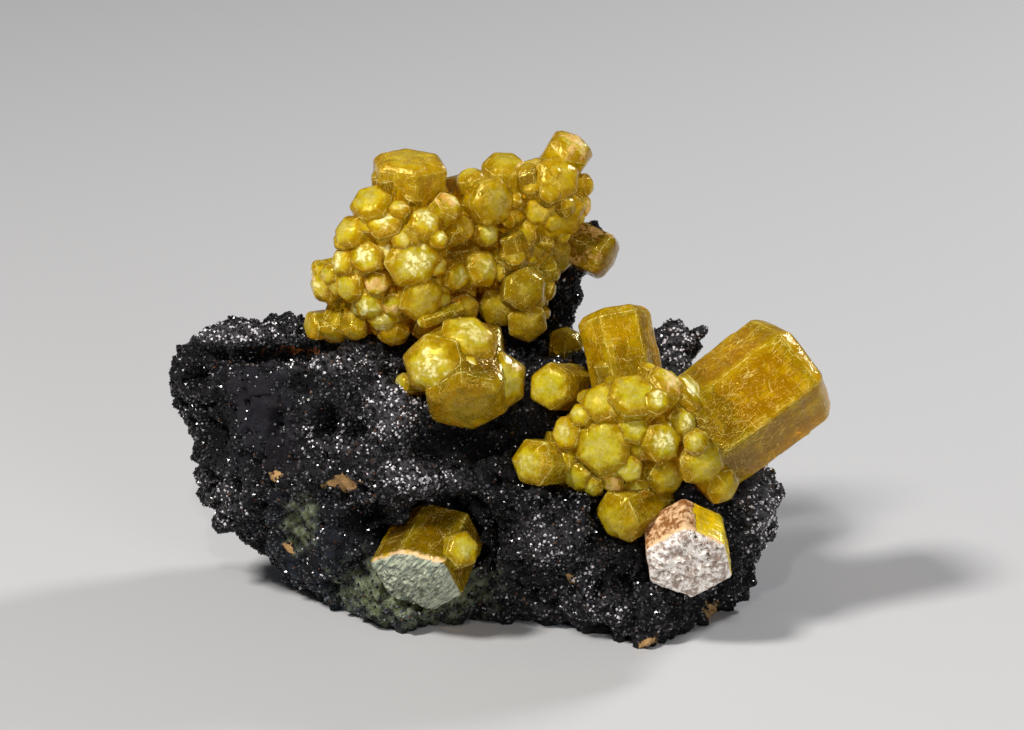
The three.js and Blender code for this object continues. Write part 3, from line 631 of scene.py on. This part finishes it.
def crystalMaterial(name, look):
    material, g = newMaterial(name)
    read = lambda attribute: g.attribute(attribute, "Vector")

    def parts(vector):
        split = g.add("ShaderNodeSeparateXYZ", None, {0: vector})
        return [split(k) for k in range(3)]

    grown = read("grown")
    x, z, h = parts(grown)
    seed, radius, paleness = parts(read("trait"))
    crust, depth, cap = parts(read("tone"))
    drop, inward = parts(read("ending"))[:2]
    where = g.add("ShaderNodeTexCoord")("Object")
    # how far out a point is along the three pairs of faces
    outs = [(x * math.sin(a) + z * math.cos(a)).size() for a in (math.pi / 6, math.pi / 2, 5 * math.pi / 6)]
    most = outs[0].atLeast(outs[1]).atLeast(outs[2])
    least = outs[0].atMost(outs[1]).atMost(outs[2])
    second = outs[0] + outs[1] + outs[2] - most - least
    hexed = most / 0.866
    apart = g.add("ShaderNodeCombineXYZ", None, {0: seed * 37.0, 1: seed * 91.0, 2: seed * 11.0})()
    own = g.vector("ADD", grown, apart)
    sized = g.vector("SCALE", own, scale=radius)  # mm along the crystal
    onEnd = (h + drop).ramp(-0.02, 0.03)
    onFlat = onEnd * (1 - inward - hexed).ramp(-0.03, 0.03)
    edgeSide = (most - second) / 0.866 * radius
    edgeTop = (h + drop).size() * radius
    edgeEnd = (hexed - 1 + inward).size() * radius + (inward - 0.2).atLeast(0.0) * 9
    edge = (edgeSide + onFlat * 9).atMost(edgeTop).atMost(edgeEnd + (1 - onEnd) * 9)
    # painted highlight: a thin pale rim along the edges stands in for light caught by the edges, broken up with
    # noise
    glintAndLipBreakup = g.noise(where, 1100.0, 2.0, 0.65)
    rim = (edge + (glintAndLipBreakup - 0.5) * 0.5).ramp(0.0, 0.12, 1.0, 0.0) * glintAndLipBreakup.ramp(0.38, 0.58)
    paintedEdgeGlow = edge.ramp(0.0, 1.6, 1.0, 0.0)
    # the body: clouds inside, fine lines along the crystal, zones across it
    cloud = g.noise(sized, 0.55, 3.0, 0.62)
    lines = g.noise(g.vector("MULTIPLY", sized, (5.0, 5.0, 0.35)), 1.0, 2.0, 0.6)
    zones = g.noise(g.vector("MULTIPLY", sized, (0.25, 0.25, 2.2)), 1.0, 2.0, 0.6)
    tint = cloud * 0.55 + lines * 0.25 + zones * 0.20
    body = g.mix((tint - depth * 0.07).ramp(0.42, 0.58), look["amber"], look["yellow"])
    # painted shade: the body darkens to dark amber towards the root, where the crystals crowd together
    body = g.mix((h * -1.0 + cloud - 0.5).ramp(0.5, 3.4) * 0.8, body, look["deep"])
    # depth turns the body amber and dark amber: for amber crystals it is their deeper colour, for dark ones it
    # is painted shade where they sit in shadow
    body = g.mix(depth * 0.55, body, look["amber"])
    body = g.mix((depth - 0.4).atLeast(0.0) * 1.4, body, look["deep"])
    # painted glow: the body turns lemon near the edges, as if lit through them
    body = g.mix(paintedEdgeGlow * 0.35 * (1 - depth * 0.5), body, look["lemon"])
    # the ends: painted light as if lit from inside, palest in the middle, with painted shade darker towards the
    # rim
    mottled = g.noise(sized, 1.0, 2.0, 0.55)
    spots = g.noise(sized, 1.5, 3.0, 0.65)
    middle = 1 - hexed / (1 - inward * 0.6)
    bright = (middle + (cloud - 0.5) * 1.5 + seed * 0.3 - depth * 0.3).ramp(0.05, 0.75)
    ends = g.mix(bright, look["yellow"], look["lemon"])
    ends = g.mix((middle + (mottled - 0.5) * 0.8).ramp(0.0, 0.36, 1.0, 0.0) * 0.8, ends, look["amber"])
    # painted highlight: a whitish spot in the middle of the ends, for light reflected through the frosted top
    middleGlint = (middle + (mottled - 0.5) * 1.8).ramp(0.20, 0.85) * spots.ramp(0.32, 0.60)
    ends = g.mix(middleGlint * paleness, ends, look["middleHighlight"])
    # painted shade: the ends keep less of their painted light where depth is high
    colour = g.mix(onEnd * (0.92 - depth * 0.72).atLeast(0.1), body, ends)
    # painted highlight: the rim line takes the frost colour, which the real cracks below also use
    rim = rim * mottled.ramp(0.38, 0.56, 0.35, 0.9)
    colour = g.mix(rim, colour, look["frostAndHighlight"])
    # cracks that follow the crystal, and flecks
    swirl = g.vector("SCALE", g.noise(sized, 0.9, 3.0, 0.6, out="Color"), scale=0.5)
    stretched = g.vector("ADD", g.vector("MULTIPLY", sized, (0.62, 0.62, 0.40)), swirl)
    closer = g.vector("SCALE", stretched, scale=2.6)
    crack = g.cells(stretched, 1.0, "DISTANCE_TO_EDGE").ramp(0.0, 0.022, 1.0, 0.0)
    crack = crack * g.noise(sized, 0.28, 2.0).ramp(0.46, 0.60) * (1 - onFlat * 0.6)
    crackle = g.cells(closer, 1.0, "DISTANCE_TO_EDGE").ramp(0.0, 0.06, 1.0, 0.0) * mottled.ramp(0.44, 0.56)
    ladder = g.noise(g.vector("MULTIPLY", sized, (0.10, 0.10, 1.3)), 1.0, 2.0)
    ladder = (ladder - 0.5).size().ramp(0.0, 0.012, 1.0, 0.0)
    ladder = ladder * g.noise(sized, 0.40, 2.0).ramp(0.52, 0.62) * (1 - onEnd)
    marks = crack.atLeast(ladder * 0.7).atLeast(crackle * 0.6)
    colour = g.mix(marks * 0.55, colour, look["frostAndHighlight"])
    veil = g.noise(g.vector("MULTIPLY", sized, (1.6, 1.6, 1.0)), 2.4, 3.0, 0.8)
    colour = g.mix(veil.ramp(0.54, 0.66) * 0.5, colour, look["amber"])
    # crusts: on the sides in patches, on the ends where they are broken or stained
    patchy = g.noise(where, 520.0, 3.0, 0.65)
    crustHere = (patchy + crust * 0.7 - 0.62).ramp(0.10, 0.20) * (crust * 3).atMost(1.0) * (1 - onFlat)
    crusted = g.mix(g.noise(where, 900.0, 3.0, 0.8).ramp(0.42, 0.60), look["crust"], look["crustTwo"])
    colour = g.mix(crustHere, colour, crusted)
    capHere = (patchy + cap * 1.6 - 0.75 - hexed * 0.25).ramp(0.36, 0.44) * (cap * 1.6).atMost(1.0) * onEnd
    fibres = g.noise(g.vector("MULTIPLY", sized, look["fibre"]), 0.7, 4.0, 0.7)
    capColour = g.mix(fibres.ramp(0.40, 0.60), look["capTwo"], look["cap"])
    spotted = g.noise(where, 1900.0, 2.0, 0.6).ramp(0.60, 0.66) * g.noise(where, 260.0, 2.0).ramp(0.42, 0.62)
    capColour = g.mix(spotted, capColour, look["capSpots"])
    colour = g.mix(capHere, colour, capColour)
    upper = g.vector("DOT_PRODUCT", g.add("ShaderNodeNewGeometry")("Normal"), (0.0, 0.0, 1.0))
    lip = (edgeTop + (glintAndLipBreakup - 0.5) * 1.2).ramp(0.0, look["lip"], 1.0, 0.0)
    lip = lip * (cap * 1.6).atMost(1.0) * upper.ramp(0.30, 0.45)
    colour = g.mix(lip * mottled.ramp(0.36, 0.50), colour, look["lipColour"])
    covered = crustHere.atLeast(capHere)
    rough = onEnd * (look["endRoughness"] - look["sideRoughness"]) + look["sideRoughness"]
    rough = (rough + (mottled - 0.5) * 0.10 + covered * 0.5).atLeast(0.06).atMost(0.9)
    relief = lines * 0.3 + mottled * 0.7 + cloud * 1.2
    if look["roughCrust"]:
        relief = relief + covered * (patchy * 2 + fibres * 3)
    bump = g.add("ShaderNodeBump", None, {"Strength": 0.45, "Distance": 0.00030, "Height": relief})()
    surface = {
        "Base Color": colour, "Roughness": rough, "Normal": bump, "IOR": look["ior"],
        "Specular IOR Level": look["gloss"], "Specular Tint": (*look["sheen"], 1),
    }
    through = {"Transmission Weight": look["transmission"]}
    clear = g.add("ShaderNodeBsdfPrincipled", None, surface | through)()
    solid = g.add("ShaderNodeBsdfPrincipled", None, surface)()
    # painted rim highlights, cracks, the painted highlights in the middles of the ends and crusts aren't
    # see-through
    share = (cloud - 0.5) * 0.5 + look["cloudy"] + onEnd * 0.08
    for shown in (rim, marks * 0.6, middleGlint * paleness * onEnd * 0.8, covered, lip):
        share = share.atLeast(shown)
    shader = g.add("ShaderNodeMixShader", None, {0: share.atMost(1.0), 1: clear, 2: solid})()
    inside = {"Color": (*look["absorb"], 1), "Density": look["density"]}
    volume = g.add("ShaderNodeVolumeAbsorption", None, inside)()
    g.add("ShaderNodeOutputMaterial", None, {"Surface": shader, "Volume": volume})
    return material


ettringite = crystalMaterial("ettringite", crystalLook)
crystalMaterials = {
    "stub_crystal": crystalMaterial("crustedEttringite", stubLook),
    "pocket_crystals": crystalMaterial("pocketEttringite", pocketLook),
}
crystalPieces = {}
for node, crystals in clusters.items():
    piece = unionOf(node.replace("_cluster", "") + "_visual", crystals)
    keepLargest(piece)
    points = np.clip(pointsOf(piece.data), np.array(cadLow), np.array(cadHigh))
    piece.data.vertices.foreach_set("co", points.astype(np.float32).ravel())
    piece.data.materials.clear()
    piece.data.materials.append(crystalMaterials.get(node, ettringite))
    piece.data.shade_smooth()
    piece.data.set_sharp_from_angle(angle=math.radians(38))
    crystalPieces[node] = piece
    print("crystals", node, len(crystals), "prisms", triangleCount(piece), "triangles")

# rock
rockForm = {
    "voxel": 0.45,       # mm
    "lump": 4.6, "lumpHeight": 5.0,
    "knob": 2.2, "knobHeight": 1.8,
    "pit": 3.4, "pitDepth": 3.4,
    "grit": 0.85, "gritHeight": 0.5,
}

# the rock's look in regions of the front view: across, up, half width, half height, how strong
rockRegions = {
    "bare": [
        (-31.0, 30, 4.0, 5.6, 1.0), (-28.2, 25.0, 2.6, 3.6, 0.8), (-11, 8, 7, 3, 0.6),
        (-24, 13, 3, 5, 0.35),
    ],
    # pale: partly paler druse, partly painted light where the ridges catch it
    "pale": [
        (-13.4, 29.0, 3.4, 4.4, 1.0), (-9.8, 21.6, 5.0, 2.6, 1.0), (33, 17, 2.8, 4, 0.9),
        (22.5, 38, 2.8, 3.5, 0.7), (-33, 39.0, 6, 1.6, 0.8), (-21.5, 35.8, 5, 1.5, 0.7),
        (5, 13, 4, 3, 0.4), (12, 7, 5, 3, 0.5), (-19.5, 26.0, 4.5, 2.2, 0.6), (-35, 18, 3, 3, 0.4),
    ],
    "tan": [
        (-19.8, 20.6, 2.0, 0.9, 1.0), (-28.2, 21.8, 0.8, 0.7, 1.0), (-26.6, 12.6, 0.7, 0.6, 1.0),
        (8.5, 8.8, 0.7, 0.6, 0.8), (18.2, 0.8, 1.3, 0.9, 0.7), (26.4, 4.5, 1.6, 2.0, 0.6),
    ],
    "orange": [(-26.5, 37.2, 4.2, 0.5, 1.0)],
    "green": [(-25.2, 15.6, 1.6, 2.6, 0.9), (-18.7, 7.1, 1.5, 1.2, 0.8), (-11.2, 7.2, 7.2, 3.4, 0.9)],
    "blue": [(-30.6, 30, 5, 7, 0.25), (-15, 7, 9, 4.5, 0.8), (-26, 9, 8, 4, 0.7), (-24, 14, 8, 5, 0.4)],
    "shade": [
        (-2, 25.5, 9, 3.6, 1.0), (-31, 37.1, 9, 0.7, 1.0), (-38.6, 34.2, 1.6, 1.6, 1.0),
        (-24.9, 33.4, 1.3, 1.4, 1.0), (-21.6, 28.4, 1.3, 2.4, 1.0), (-18.6, 27.0, 1.0, 1.6, 0.8),
        (-35.4, 27.5, 1.4, 4.0, 0.7), (-5.0, 18.0, 4.0, 1.6, 1.0), (-17.0, 15.0, 3.0, 2.5, 0.6),
        (-1.0, 14.5, 3.0, 3.0, 0.5), (15.5, 9.0, 3.0, 2.6, 0.5), (9, 44, 2.5, 6, 0.8),
        (0, 37, 8, 2, 0.7),
    ],
}
# pushed in (below zero) or out along the surface, mm: across, up, half width, half height, depth
rockDents = [
    (-38.6, 34.2, 1.6, 1.6, -2.8), (-24.9, 33.4, 1.4, 1.5, -3.0), (-21.6, 28.4, 1.3, 2.4, -3.2),
    (-18.6, 27.0, 1.1, 1.7, -2.0), (-6.0, 25.4, 5.5, 1.8, -2.6), (-31.0, 37.1, 8.5, 0.9, -3.2),
    (-28.4, 27.0, 1.0, 3.8, -1.2), (-35.4, 27.5, 1.4, 4.4, -1.8), (-31.0, 30.0, 3.4, 5.0, -1.2),
    (-16.4, 33.6, 2.6, 1.5, 1.5), (-13.6, 29.4, 2.8, 3.8, 1.9), (-10.5, 21.6, 4.2, 1.7, 2.2),
    (-23.0, 35.2, 4.5, 1.2, 1.4), (-33.0, 39.4, 5.5, 1.1, 1.2), (-34.0, 18.0, 3.4, 3.0, 1.3),
    (-5.0, 17.6, 3.6, 1.4, -2.2), (-1.0, 14.5, 3.6, 3.0, -2.0), (6.5, 13.0, 4.0, 2.4, 1.6),
    (15.5, 9.0, 3.0, 2.6, -1.8), (-17.0, 15.6, 3.2, 2.2, -2.2), (-22.0, 11.0, 3.0, 2.6, 1.3),
    (31.4, 17.6, 2.4, 3.4, 1.2), (10.5, 6.0, 3.6, 2.2, 1.2), (2.5, 8.0, 2.0, 2.4, -1.4),
]


def inFront(points):
    # across, up and depth of world points in the front view
    flat = points / mm - np.array(shift)
    off = flat - np.array(viewAim)
    spread = 1 + off @ np.array(viewAway) / view["distance"]
    across, up = off @ np.array(viewRight) / spread, off @ np.array(viewUp) / spread
    return across + view["across"], up + view["up"], flat[:, 1]


def regionShare(points, name):
    # how much of each point lies in the region, whose edges are ragged
    across, up, depth = inFront(points)
    waves = np.sin(across * 2.1 + up * 1.3) + np.sin(up * 2.9 - across * 1.7 + 2)
    ragged = 0.22 * (waves + np.sin(across * 4.7 + up * 3.9))
    share = np.zeros(len(points))
    for a, u, halfA, halfU, strong in rockRegions[name]:
        away = np.hypot((across - a) / halfA, (up - u) / halfU) + ragged
        share = np.maximum(share, strong * np.clip(1.5 - away, 0, 1))
    return share * (depth < 9)


def addNumbers(obj, name, values):
    attribute = obj.data.attributes.get(name) or obj.data.attributes.new(name, "FLOAT", "POINT")
    attribute.data.foreach_set("value", np.asarray(values, np.float32))


def modifierTree(name, sizes):
    tree = bpy.data.node_groups.new(name, "GeometryNodeTree")
    tree.interface.new_socket("Geometry", in_out="INPUT", socket_type="NodeSocketGeometry")
    for label, value in sizes.items():
        kind = {int: "NodeSocketInt", float: "NodeSocketFloat"}.get(type(value), "NodeSocketMaterial")
        tree.interface.new_socket(label, in_out="INPUT", socket_type=kind)
    tree.interface.new_socket("Geometry", in_out="OUTPUT", socket_type="NodeSocketGeometry")
    return tree, Graph(tree)


def applyTree(obj, tree, sizes):
    modifier = obj.modifiers.new(tree.name, "NODES")
    modifier.node_group = tree
    for item in tree.interface.items_tree:
        if item.in_out == "INPUT" and item.name in sizes:
            modifier[item.identifier] = sizes[item.name]
    return evaluated(obj)


def reliefTree(sizes):
    tree, g = modifierTree("rockRelief", sizes)
    entry = g.add("NodeGroupInput")
    where = g.vector("SCALE", g.add("GeometryNodeInputPosition")(), scale=1000.0)
    normal = g.add("GeometryNodeInputNormal")()
    named = lambda name: g.add("GeometryNodeInputNamedAttribute", {"data_type": "FLOAT"}, {"Name": name})(0)
    druse = named("druse")
    lump = (g.noise(where, 1 / entry("lump"), 2.0, 0.55) - 0.5) * entry("lumpHeight")
    knob = (0.42 - g.cells(where, 1 / entry("knob"))) * entry("knobHeight")
    pits = g.cells(where, 1 / entry("pit")).ramp(0.10, 0.42, -1.0, 0.0)
    pits = pits * g.noise(where, 0.17, 2.0).ramp(0.45, 0.56) * entry("pitDepth")
    grit = (0.45 - g.cells(where, 1 / entry("grit"))) * entry("gritHeight")
    height = lump * (druse * 0.6 + 0.4) + pits * druse + knob * (druse * 0.85 + 0.15) + grit * druse
    offset = g.vector("SCALE", normal, scale=(height + named("dent")) * mm)
    moved = g.add("GeometryNodeSetPosition", None, {"Geometry": entry("Geometry"), "Offset": offset})
    g.add("NodeGroupOutput", None, {"Geometry": moved("Geometry")})
    return tree


def makeRock():
    rock = addObject("matrix_visual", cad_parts["matrix"].data.copy())
    rock.data.materials.clear()
    weld = rock.modifiers.new("weld", "WELD")
    weld.merge_threshold = 1e-6
    remesh = rock.modifiers.new("remesh", "REMESH")
    remesh.mode = "VOXEL"
    remesh.voxel_size = rockForm["voxel"] * mm
    evaluated(rock)
    points = pointsOf(rock.data)
    across, up, depth = inFront(points)
    facing = np.clip(-pointsOf(rock.data, "normal")[:, 1] * 2, 0, 1)
    dent = np.zeros(len(points))
    for a, u, halfA, halfU, push in rockDents:
        away = np.hypot((across - a) / halfA, (up - u) / halfU)
        near = np.clip(1.4 - away, 0, 1)
        dent += push * near ** 2 * (3 - 2 * near) * facing * (depth < 6)
    addNumbers(rock, "dent", dent)
    addNumbers(rock, "druse", 1 - regionShare(points, "bare"))
    sizes = {name: float(value) for name, value in rockForm.items() if name != "voxel"}
    applyTree(rock, reliefTree(sizes), sizes)
    keepLargest(rock)
    rock.data.shade_smooth()
    low, high = np.array(cadLow), np.array(cadHigh)
    points = np.clip(pointsOf(rock.data), low + 0.3 * mm, high - 0.3 * mm)
    points[points[:, 2] < low[2] + 0.31 * mm, 2] = low[2]
    rock.data.vertices.foreach_set("co", points.astype(np.float32).ravel())
    rock.data.update()
    for region in ("pale", "tan", "orange", "green", "blue", "shade"):
        addNumbers(rock, region, regionShare(points, region))
    return rock


def markGrowth(rock):
    # grains grow where the rock is open: not on its base, and not in the sockets of the crystals
    points, normals = pointsOf(rock.data), pointsOf(rock.data, "normal")
    trees = [surfaceTree(p.data) for p in crystalPieces.values()]
    lows = [pointsOf(p.data).min(axis=0) - mm for p in crystalPieces.values()]
    highs = [pointsOf(p.data).max(axis=0) + mm for p in crystalPieces.values()]
    share = np.zeros(len(points), np.float32)
    rock.data.attributes["druse"].data.foreach_get("value", share)
    free = (points[:, 2] > cadLow[2] + 0.8 * mm) * (1 - 0.9 * regionShare(points, "tan"))
    share *= free * (1 - 0.6 * regionShare(points, "green"))
    for tree, low, high in zip(trees, lows, highs):
        for n in np.nonzero(np.all((points > low) & (points < high), axis=1) & (share > 0))[0]:
            normal = Vector(normals[n])
            if tree.ray_cast(Vector(points[n]), normal, 1.2 * mm)[0] is not None:
                share[n] = 0
    addNumbers(rock, "grow", share)


rockLook = {
    "dark": (0.003, 0.0028, 0.0032), "grey": (0.020, 0.019, 0.021), "bare": (0.016, 0.011, 0.015),
    "pale": (0.11, 0.105, 0.115), "blue": (0.018, 0.027, 0.042), "green": (0.11, 0.13, 0.05),
    "moss": (0.25, 0.28, 0.19), "tan": (0.46, 0.27, 0.11), "orange": (0.42, 0.13, 0.03),
}


def rockMaterial():
    material, g = newMaterial("rock")
    where = g.vector("SCALE", g.add("ShaderNodeTexCoord")("Object"), scale=1000.0)
    share = g.attribute
    fine, broad = g.noise(where, 1.6, 5.0, 0.7), g.noise(where, 0.22, 3.0, 0.6)
    look = rockLook
    base = g.mix((fine * 0.6 + broad * 0.4).ramp(0.44, 0.66), look["dark"], look["grey"])
    base = g.mix((1 - share("druse")) * 0.8, base, g.mix(fine.ramp(0.45, 0.7), look["bare"], look["grey"]))
    base = g.mix(share("blue") * broad.ramp(0.35, 0.6) * 0.7, base, look["blue"])
    # the pale regions are partly paler rock and partly painted light on the ridges
    base = g.mix(share("pale") * fine.ramp(0.4, 0.62) * 0.8, base, look["pale"])
    greens = g.mix(fine.ramp(0.42, 0.6), look["green"], look["moss"])
    base = g.mix(share("green") * broad.ramp(0.30, 0.5), base, greens)
    base = g.mix((share("orange") + fine * 0.8).ramp(0.9, 1.05), base, look["orange"])
    base = g.mix((share("tan") + fine * 0.8).ramp(0.85, 1.05), base, look["tan"])
    base = g.mix(share("shade") * 0.85, base, look["dark"])
    grit = g.noise(where, 3.0, 4.0, 0.7)
    bump = g.add("ShaderNodeBump", None, {"Strength": 0.7, "Distance": 0.5 * mm, "Height": grit})()
    rough = fine.ramp(0.3, 0.7, 0.3, 0.6)
    g.surface({"Base Color": base, "Roughness": rough, "Specular IOR Level": 0.10, "Normal": bump})
    return material


rock = makeRock()
rock.data.materials.append(rockMaterial())
markGrowth(rock)
print("rock", triangleCount(rock), "triangles")

# druse
druseForm = {
    "size": 0.21,           # mm
    "spread": 1.7,          # how much larger the largest are, times their size
    "perSquareMm": 1.42,
    "pieces": 4,
    "seed": 11, "seedStep": 20,
}
druseLook = {
    "dark": (0.004, 0.0038, 0.0042), "grey": (0.085, 0.08, 0.088), "white": (0.62, 0.59, 0.61),
    "brown": (0.08, 0.035, 0.018), "cool": (0.085, 0.115, 0.14),
}


def druseMaterial():
    material, g = newMaterial("druse")
    grain, pale, cool = g.attribute("grain"), g.attribute("paleness"), g.attribute("cool")
    look = druseLook
    where = g.vector("SCALE", g.add("ShaderNodeTexCoord")("Object"), scale=1000.0)
    # painted light and shade: grains are lighter in noise patches, standing for clustered glints, and in the
    # pale regions, and darker in the shade regions
    litAndShadedPatches = g.noise(where, 0.45, 3.0, 0.6)
    bright = grain + pale * 0.62 + (litAndShadedPatches - 0.5) * 0.95 - 0.02
    base = g.mix(bright.ramp(0.40, 1.05), look["dark"], look["grey"])
    base = g.mix(cool * bright.ramp(0.5, 0.9) * 0.8, base, look["cool"])
    base = g.mix(bright.ramp(0.97, 1.10), base, look["white"])
    base = g.mix((grain * 17.31).math("FRACT").ramp(0.975, 0.985), base, look["brown"])
    rough = grain.ramp(0.0, 1.0, 0.06, 0.30)
    g.surface({"Base Color": base, "Roughness": rough, "Specular IOR Level": 0.42})
    return material


def grainShape():
    # a blunt double pyramid, 1 across
    points = [(0.5, 0, 0), (0, 0.5, 0), (-0.5, 0, 0), (0, -0.5, 0), (0, 0, 0.55), (0, 0, -0.55)]
    faces = [(0, 1, 4), (1, 2, 4), (2, 3, 4), (3, 0, 4), (1, 0, 5), (2, 1, 5), (3, 2, 5), (0, 3, 5)]
    mesh = bpy.data.meshes.new("grain")
    mesh.from_pydata(points, [], faces)
    return addObject("grainShape", mesh)


def druseTree(shape, sizes):
    tree, g = modifierTree("druseGrains", sizes)
    entry = g.add("NodeGroupInput")
    grow = g.add("GeometryNodeInputNamedAttribute", {"data_type": "FLOAT"}, {"Name": "grow"})(0)
    where = g.vector("SCALE", g.add("GeometryNodeInputPosition")(), scale=1000.0)
    patches = g.noise(where, 0.35, 2.0, 0.5).ramp(0.3, 0.6, 0.6, 1.2)
    density = entry("perSquareMm") * 1e6 * grow * patches
    scatter = g.add("GeometryNodeDistributePointsOnFaces", {"distribute_method": "RANDOM"},
                    {"Mesh": entry("Geometry"), "Density": density, "Seed": entry("seed")})

    def random(low, high, salt):
        return g.add("FunctionNodeRandomValue", {"data_type": "FLOAT"},
                     {2: low, 3: high, 8: entry("seed") + salt})(1)

    turn = g.add("FunctionNodeRandomValue", {"data_type": "FLOAT_VECTOR"},
                 {0: (0, 0, 0), 1: (2 * math.pi,) * 3, 8: entry("seed") + 5})(0)
    scale = entry("size") * mm * (1 + random(0.0, 1.0, 1) ** 1.5 * entry("spread"))
    one = g.add("GeometryNodeObjectInfo", None, {"Object": shape})("Geometry")
    turned = g.add("FunctionNodeEulerToRotation", None, {0: turn})()
    instances = g.add("GeometryNodeInstanceOnPoints", None, {
        "Points": scatter("Points"), "Instance": one, "Rotation": turned, "Scale": scale})
    marked = g.add("GeometryNodeStoreNamedAttribute", {"data_type": "FLOAT", "domain": "INSTANCE"},
                   {"Geometry": instances(), "Name": "grain", "Value": random(0.0, 1.0, 2)})
    real = g.add("GeometryNodeRealizeInstances", None, {"Geometry": marked()})
    dressed = g.add("GeometryNodeSetMaterial", None, {"Geometry": real(), "Material": entry("look")})
    g.add("NodeGroupOutput", None, {"Geometry": dressed()})
    return tree


def makeDruse():
    shape = grainShape()
    sizes = {name: druseForm[name] for name in ("size", "spread", "perSquareMm", "seed")}
    sizes["look"] = druseMaterial()
    tree = druseTree(shape, sizes)
    made = []
    for k in range(druseForm["pieces"]):
        grain = addObject(f"druse_{k + 1}", rock.data.copy())
        applyTree(grain, tree, dict(sizes, seed=druseForm["seed"] + druseForm["seedStep"] * k))
        points = pointsOf(grain.data)
        # paleness: the pale regions, partly painted light, less the painted shade regions
        pale, shade = (regionShare(points, name) for name in ("pale", "shade"))
        addNumbers(grain, "paleness", pale - 1.2 * shade)
        addNumbers(grain, "cool", regionShare(points, "blue"))
        points = np.clip(points, np.array(cadLow), np.array(cadHigh))
        grain.data.vertices.foreach_set("co", points.astype(np.float32).ravel())
        made.append(grain)
        print("druse", k + 1, triangleCount(grain), "triangles")
    bpy.data.objects.remove(shape)
    return made


grains = makeDruse()

# stage
stageLook = {
    "floor": (0.45, 0.45, 0.46), "half": 2, "aim": (0, 0, 0.03),        # metres
    "world": (0.80, 0.84, 0.90), "worldStrength": 0.10,
}


def makeStage():
    mesh = bpy.data.meshes.new("floor")
    half = stageLook["half"]
    corners = [(-half, -half, 0), (half, -half, 0), (half, half, 0), (-half, half, 0)]
    mesh.from_pydata(corners, [], [(0, 1, 2, 3)])
    floor = addObject("floor", mesh)
    material, g = newMaterial("floor")
    g.surface({"Base Color": (*stageLook["floor"], 1), "Roughness": 0.7})
    mesh.materials.append(material)
    world = bpy.data.worlds.new("studio")
    world.use_nodes = True
    background = world.node_tree.nodes["Background"]
    background.inputs[0].default_value = (*stageLook["world"], 1)
    background.inputs[1].default_value = stageLook["worldStrength"]
    bpy.context.scene.world = world


def addLamp(name, place, size, power, colour=(1, 1, 1)):
    lamp = bpy.data.lights.new(name, "AREA")
    lamp.shape = "DISK"
    lamp.size = size
    lamp.energy = power
    lamp.color = colour
    obj = addObject(name, lamp)
    obj.location = place
    obj.rotation_euler = (Vector(stageLook["aim"]) - Vector(place)).to_track_quat("-Z", "Y").to_euler()


makeStage()
addLamp("key", (-0.34, -0.28, 0.58), 0.14, 6.0, (1.0, 0.97, 0.92))
addLamp("rim", (0.45, 0.35, 0.40), 0.14, 3.0)
addLamp("fill", (0.30, -0.60, 0.20), 0.30, 1.5)
addLamp("spark", (-0.05, -0.55, 0.50), 0.03, 0.8)

camera = bpy.data.cameras.new("camera")
camera.sensor_width = view["sensor"]
camera.lens = view["sensor"] * view["distance"] * view["pixelsPerMm"] / view["width"]
camera.clip_start = 0.01
cameraObject = addObject("camera", camera)
cameraObject.location = (viewAim - viewAway * view["distance"] + shift) * mm
cameraObject.rotation_euler = (math.pi / 2 - tilt, 0, 0)
bpy.context.scene.camera = cameraObject
bpy.context.scene.view_settings.view_transform = "Standard"

# the pieces stand for the solids
for node, piece in crystalPieces.items():
    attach(piece, "root")
    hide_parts(node)
    "crusted_ettringite" if node == "stub_crystal" else "ettringite"
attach(rock, "root")
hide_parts("matrix")
for grain in grains:
    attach(grain, "root")
